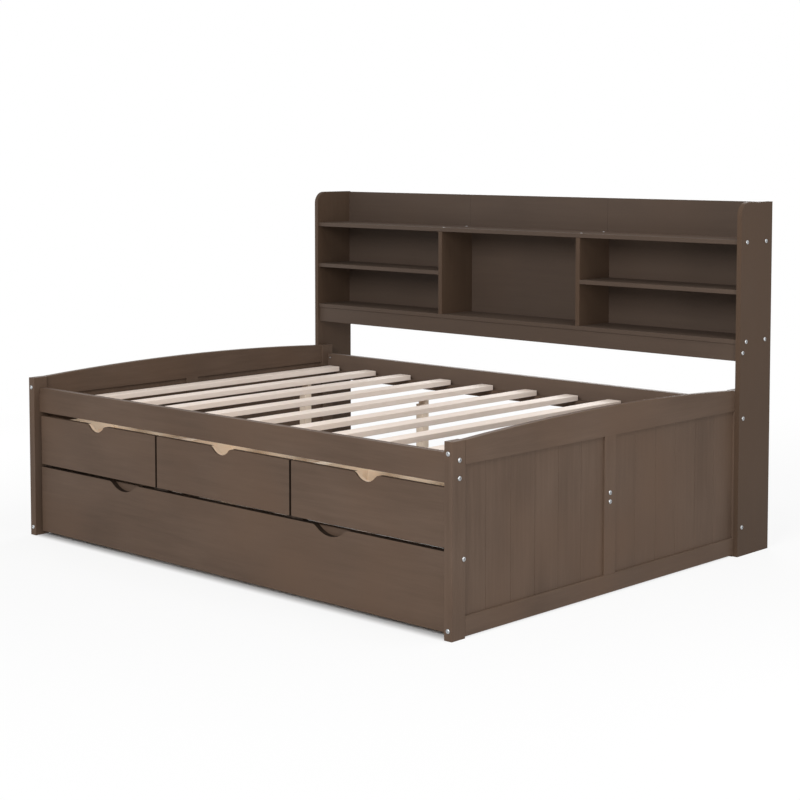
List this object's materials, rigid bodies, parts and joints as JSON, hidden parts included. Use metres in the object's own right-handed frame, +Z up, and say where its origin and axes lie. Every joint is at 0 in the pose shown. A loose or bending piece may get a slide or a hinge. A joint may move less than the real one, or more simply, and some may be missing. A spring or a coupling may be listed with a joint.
{
  "type": "captains bed",
  "caption": "Full-size captains bed with a bookcase along its back side, a row of pull-out drawers, a trundle on casters and loose bed slats.",
  "frame": {"origin": "bottom centre of the whole bed, on the floor", "axes": "+X along the bed to the right seen from the front, +Y from the front towards the bookcase, +Z up"},
  "size_m": [2.0052, 1.5822, 1.168],
  "materials": {
    "stained_wood": "satin",
    "stained_panel": "satin",
    "whitewood": "matte",
    "pine": "matte",
    "zinc": "satin",
    "caster_tyre": "satin"
  },
  "bodies": {
    "bed_frame": {"back_rail": "stained_wood", "bed_slat_1": "whitewood", "bed_slat_10": "whitewood", "bed_slat_2": "whitewood", "bed_slat_3": "whitewood", "bed_slat_4": "whitewood", "bed_slat_5": "whitewood", "bed_slat_6": "whitewood", "bed_slat_7": "whitewood", "bed_slat_8": "whitewood", "bed_slat_9": "whitewood", "bolts": "zinc", "bookcase_apron": "stained_wood", "bookcase_back": "stained_panel", "bookcase_dividers": "stained_wood", "bookcase_left_side": "stained_wood", "bookcase_right_side": "stained_wood", "bottom_shelf": "stained_wood", "drawer_runners": "pine", "front_rail": "stained_wood", "front_stretcher": "stained_wood", "left_arched_rail": "stained_wood", "left_back_stile": "stained_wood", "left_bottom_rail": "stained_wood", "left_front_stile": "stained_wood", "left_infill_panels": "stained_wood", "left_middle_stile": "stained_wood", "middle_rail": "stained_wood", "middle_shelves": "stained_wood", "right_arched_rail": "stained_wood", "right_back_stile": "stained_wood", "right_bottom_rail": "stained_wood", "right_front_stile": "stained_wood", "right_infill_panels": "stained_wood", "right_middle_stile": "stained_wood", "screws": "zinc", "slat_ledges": "stained_wood", "support_posts": "whitewood", "top_shelf": "stained_wood"},
    "drawer_1": {"drawer_1_bottom": "pine", "drawer_1_box": "pine", "drawer_1_front": "stained_wood"},
    "drawer_2": {"drawer_2_bottom": "pine", "drawer_2_box": "pine", "drawer_2_front": "stained_wood"},
    "drawer_3": {"drawer_3_bottom": "pine", "drawer_3_box": "pine", "drawer_3_front": "stained_wood"},
    "trundle": {"trundle_back": "stained_wood", "trundle_bearers": "pine", "trundle_front": "stained_wood", "trundle_ledges": "pine", "trundle_left_side": "stained_wood", "trundle_right_side": "stained_wood", "trundle_slats": "whitewood", "caster_forks": "zinc"},
    "wheel_1": {"trundle_wheel_1": "caster_tyre"},
    "wheel_2": {"trundle_wheel_2": "caster_tyre"},
    "wheel_3": {"trundle_wheel_3": "caster_tyre"},
    "wheel_4": {"trundle_wheel_4": "caster_tyre"}
  },
  "joints": [
    {"name": "drawer_1_slide", "type": "slide", "parent": "bed_frame", "child": "drawer_1", "axis": [0, -1, 0], "range_m": [0, 0.22]},
    {"name": "drawer_2_slide", "type": "slide", "parent": "bed_frame", "child": "drawer_2", "axis": [0, -1, 0], "range_m": [0, 0.22]},
    {"name": "drawer_3_slide", "type": "slide", "parent": "bed_frame", "child": "drawer_3", "axis": [0, -1, 0], "range_m": [0, 0.22]},
    {"name": "trundle_slide", "type": "slide", "parent": "bed_frame", "child": "trundle", "axis": [0, -1, 0], "range_m": [0, 0.95]},
    {"name": "wheel_1_roll", "type": "hinge", "parent": "trundle", "child": "wheel_1", "pos_m": [-0.62, -0.63745, 0.022], "axis": [1, 0, 0], "continuous": true},
    {"name": "wheel_2_roll", "type": "hinge", "parent": "trundle", "child": "wheel_2", "pos_m": [0.62, -0.63745, 0.022], "axis": [1, 0, 0], "continuous": true},
    {"name": "wheel_3_roll", "type": "hinge", "parent": "trundle", "child": "wheel_3", "pos_m": [-0.62, 0.08655, 0.022], "axis": [1, 0, 0], "continuous": true},
    {"name": "wheel_4_roll", "type": "hinge", "parent": "trundle", "child": "wheel_4", "pos_m": [0.62, 0.08655, 0.022], "axis": [1, 0, 0], "continuous": true}
  ],
  "couplings": [
    {"joint": "wheel_1_roll", "follows": "trundle_slide", "rad_per_m": 45.455},
    {"joint": "wheel_2_roll", "follows": "trundle_slide", "rad_per_m": 45.455},
    {"joint": "wheel_3_roll", "follows": "trundle_slide", "rad_per_m": 45.455},
    {"joint": "wheel_4_roll", "follows": "trundle_slide", "rad_per_m": 45.455}
  ]
}
